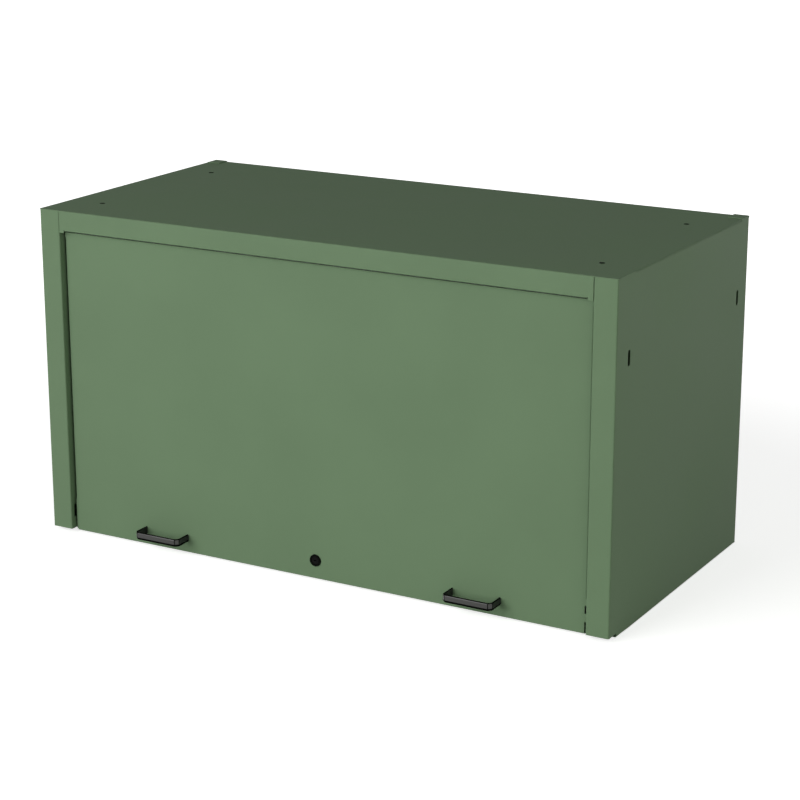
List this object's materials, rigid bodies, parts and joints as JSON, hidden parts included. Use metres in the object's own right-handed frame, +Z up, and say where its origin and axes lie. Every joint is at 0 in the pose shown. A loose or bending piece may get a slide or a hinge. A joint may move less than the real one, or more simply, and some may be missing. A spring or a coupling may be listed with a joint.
{
  "type": "tool chest hutch",
  "caption": "Sheet steel hutch that stands on a tool chest, with a lift-up front door on a long top hinge, gas struts, pull handles and a key lock with sliding rods.",
  "frame": {"origin": "middle of the footprint, at the level of the surface that the hutch stands on", "axes": "+X to the right as seen from the front, +Y to the back, +Z up"},
  "size_m": [1.08, 0.5606, 0.582],
  "materials": {
    "green_paint": "green powder coat, fine texture, semi-gloss",
    "black_finish": "black powder coat, satin",
    "zinc_steel": "zinc plated",
    "black_nylon": "moulded, matte",
    "rubber": "soft, matte"
  },
  "bodies": {
    "carcass": {"side_panel_left": "green_paint", "side_panel_right": "green_paint", "top_panel": "green_paint", "back_panel": "green_paint", "top_stiffener": "green_paint", "back_screws": "zinc_steel", "hinge_leaf_fixed": "zinc_steel", "hinge_pin": "zinc_steel", "hinge_rivets": "zinc_steel", "door_stop_brackets": "green_paint", "door_bumpers": "rubber", "carcass_ball_studs": "zinc_steel"},
    "door": {"door_skin": "green_paint", "door_bottom_rail": "green_paint", "door_stiffeners": "green_paint", "hinge_leaf_moving": "zinc_steel", "handle_left": "black_finish", "handle_right": "black_finish", "handle_plates": "zinc_steel", "lock_body": "black_finish", "lock_nut": "zinc_steel", "rod_guides": "black_nylon", "door_stud_bases": "zinc_steel"},
    "lock": {"lock_plug": "black_finish", "lock_cam": "zinc_steel", "cam_screw": "zinc_steel"},
    "right_lock_rod": {"lock_rod_right": "zinc_steel"},
    "left_lock_rod": {"lock_rod_left": "zinc_steel"},
    "left_strut_tube": {"strut_cylinder_left": "black_finish", "strut_guide_left": "black_nylon", "strut_upper_socket_left": "black_nylon"},
    "left_strut_plunger": {"strut_rod_left": "zinc_steel", "strut_piston_left": "black_nylon", "strut_lower_socket_left": "black_nylon", "door_ball_stud_left": "zinc_steel"},
    "right_strut_tube": {"strut_cylinder_right": "black_finish", "strut_guide_right": "black_nylon", "strut_upper_socket_right": "black_nylon"},
    "right_strut_plunger": {"strut_rod_right": "zinc_steel", "strut_piston_right": "black_nylon", "strut_lower_socket_right": "black_nylon", "door_ball_stud_right": "zinc_steel"}
  },
  "joints": [
    {"name": "door_hinge", "type": "hinge", "parent": "carcass", "child": "door", "pos_m": [0, -0.2415, 0.5375], "axis": [-1, 0, 0], "range_deg": [0, 90]},
    {"name": "lock_turn", "type": "hinge", "parent": "door", "child": "lock", "pos_m": [0, -0.24165, 0.036], "axis": [0, 1, 0], "range_deg": [0, 90]},
    {"name": "right_rod_slide", "type": "slide", "parent": "door", "child": "right_lock_rod", "axis": [1, 0, 0], "range_m": [0, 0.01272]},
    {"name": "left_rod_slide", "type": "slide", "parent": "door", "child": "left_lock_rod", "axis": [-1, 0, 0], "range_m": [0, 0.01272]},
    {"name": "left_strut_swing", "type": "hinge", "parent": "carcass", "child": "left_strut_tube", "pos_m": [-0.486, -0.2115, 0.5255], "axis": [-1, 0, 0], "range_deg": [0, 84.9]},
    {"name": "left_strut_slide", "type": "slide", "parent": "left_strut_tube", "child": "left_strut_plunger", "axis": [0, -0.0905, -0.9959], "range_m": [0, 0.0412]},
    {"name": "right_strut_swing", "type": "hinge", "parent": "carcass", "child": "right_strut_tube", "pos_m": [0.486, -0.2115, 0.5255], "axis": [-1, 0, 0], "range_deg": [0, 84.9]},
    {"name": "right_strut_slide", "type": "slide", "parent": "right_strut_tube", "child": "right_strut_plunger", "axis": [0, -0.0905, -0.9959], "range_m": [0, 0.0412]}
  ],
  "couplings": [
    {"joint": "lock_turn", "follows": "right_rod_slide", "rad_per_m": 123.49},
    {"joint": "left_rod_slide", "follows": "right_rod_slide", "ratio": 1},
    {"joint": "left_strut_swing", "follows": "door_hinge", "ratio": 0.94228},
    {"joint": "left_strut_slide", "follows": "door_hinge", "m_per_rad": 0.026218},
    {"joint": "right_strut_swing", "follows": "door_hinge", "ratio": 0.94228},
    {"joint": "right_strut_slide", "follows": "door_hinge", "m_per_rad": 0.026218}
  ]
}
